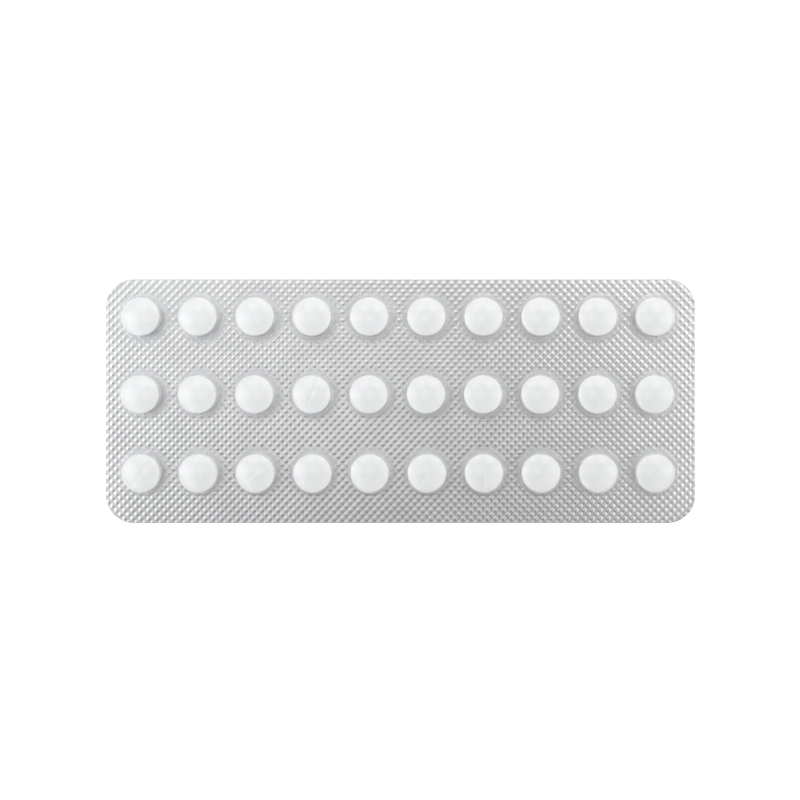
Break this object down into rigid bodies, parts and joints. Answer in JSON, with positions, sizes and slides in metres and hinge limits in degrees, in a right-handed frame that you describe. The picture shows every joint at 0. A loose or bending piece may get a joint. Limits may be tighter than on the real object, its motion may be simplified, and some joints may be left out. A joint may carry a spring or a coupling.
{
  "type": "pill blister pack",
  "caption": "Flat rectangular blister pack with rounded corners: a clear formed film with rows of round pockets over white tablets, sealed on a thin aluminium foil.",
  "frame": {"origin": "middle of the pack's outline, on the underside of the foil", "axes": "+X along the pack's length, +Y across it towards the first row, +Z out of the pockets"},
  "size_m": [0.1082, 0.0448, 0.0036],
  "materials": {
    "clear_film": "clear glossy film",
    "lidding_foil": "bright knurled foil",
    "tablet": "matt pressed powder"
  },
  "bodies": {
    "root": {"blister_film": "clear_film", "lidding_foil": "lidding_foil", "tablet_r1_c01": "tablet", "tablet_r1_c02": "tablet", "tablet_r1_c03": "tablet", "tablet_r1_c04": "tablet", "tablet_r1_c05": "tablet", "tablet_r1_c06": "tablet", "tablet_r1_c07": "tablet", "tablet_r1_c08": "tablet", "tablet_r1_c09": "tablet", "tablet_r1_c10": "tablet", "tablet_r2_c01": "tablet", "tablet_r2_c02": "tablet", "tablet_r2_c03": "tablet", "tablet_r2_c04": "tablet", "tablet_r2_c05": "tablet", "tablet_r2_c06": "tablet", "tablet_r2_c07": "tablet", "tablet_r2_c08": "tablet", "tablet_r2_c09": "tablet", "tablet_r2_c10": "tablet", "tablet_r3_c01": "tablet", "tablet_r3_c02": "tablet", "tablet_r3_c03": "tablet", "tablet_r3_c04": "tablet", "tablet_r3_c05": "tablet", "tablet_r3_c06": "tablet", "tablet_r3_c07": "tablet", "tablet_r3_c08": "tablet", "tablet_r3_c09": "tablet", "tablet_r3_c10": "tablet"}
  },
  "joints": []
}
